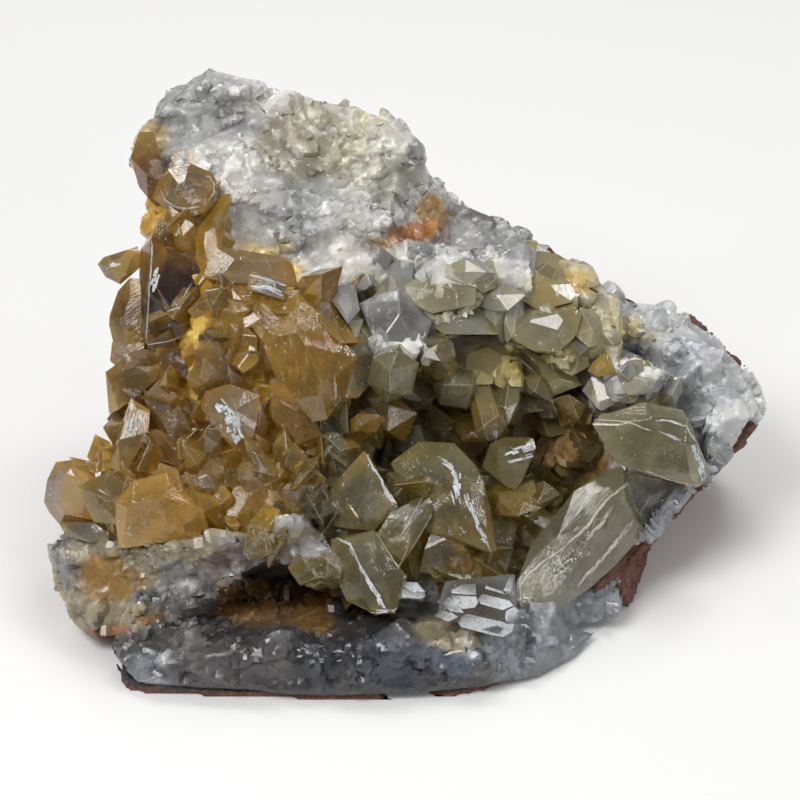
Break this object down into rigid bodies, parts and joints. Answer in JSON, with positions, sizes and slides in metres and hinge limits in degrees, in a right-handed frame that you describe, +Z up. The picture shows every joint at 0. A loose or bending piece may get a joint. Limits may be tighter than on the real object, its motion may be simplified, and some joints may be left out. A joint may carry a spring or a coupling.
{
  "type": "celestite crystal cluster",
  "caption": "Broken geode piece: massive pale celestite on a brown rock rind, with honey and grey-green blades round an open pocket; rests on a flat cut underside.",
  "frame": {"origin": "middle of the footprint on the resting plane, under the middle of the specimen's bounding box", "axes": "+Z up from the cut base; +X to the right and -Y toward the viewer when the crystal pocket is looked at from in front"},
  "size_m": [0.1455, 0.115, 0.0842],
  "materials": {
    "host_rock": "dull, rough brown rock",
    "massive_celestite": "milky white to blue-grey, sugary broken surface, nearly opaque",
    "honey_celestite": "glassy, honey to amber iron stain, cloudy inside",
    "olive_celestite": "glassy, dark olive, stained",
    "grey_green_celestite": "glassy grey-green, veiled, see-through at the edges"
  },
  "bodies": {
    "root": {"matrix_rind": "host_rock", "celestite_mass": "massive_celestite", "honey_crystals": "honey_celestite", "pocket_crystals": "olive_celestite", "center_crystals": "grey_green_celestite", "right_prism_crystal": "grey_green_celestite", "lower_right_blade": "grey_green_celestite", "striated_plate": "grey_green_celestite"}
  },
  "joints": []
}
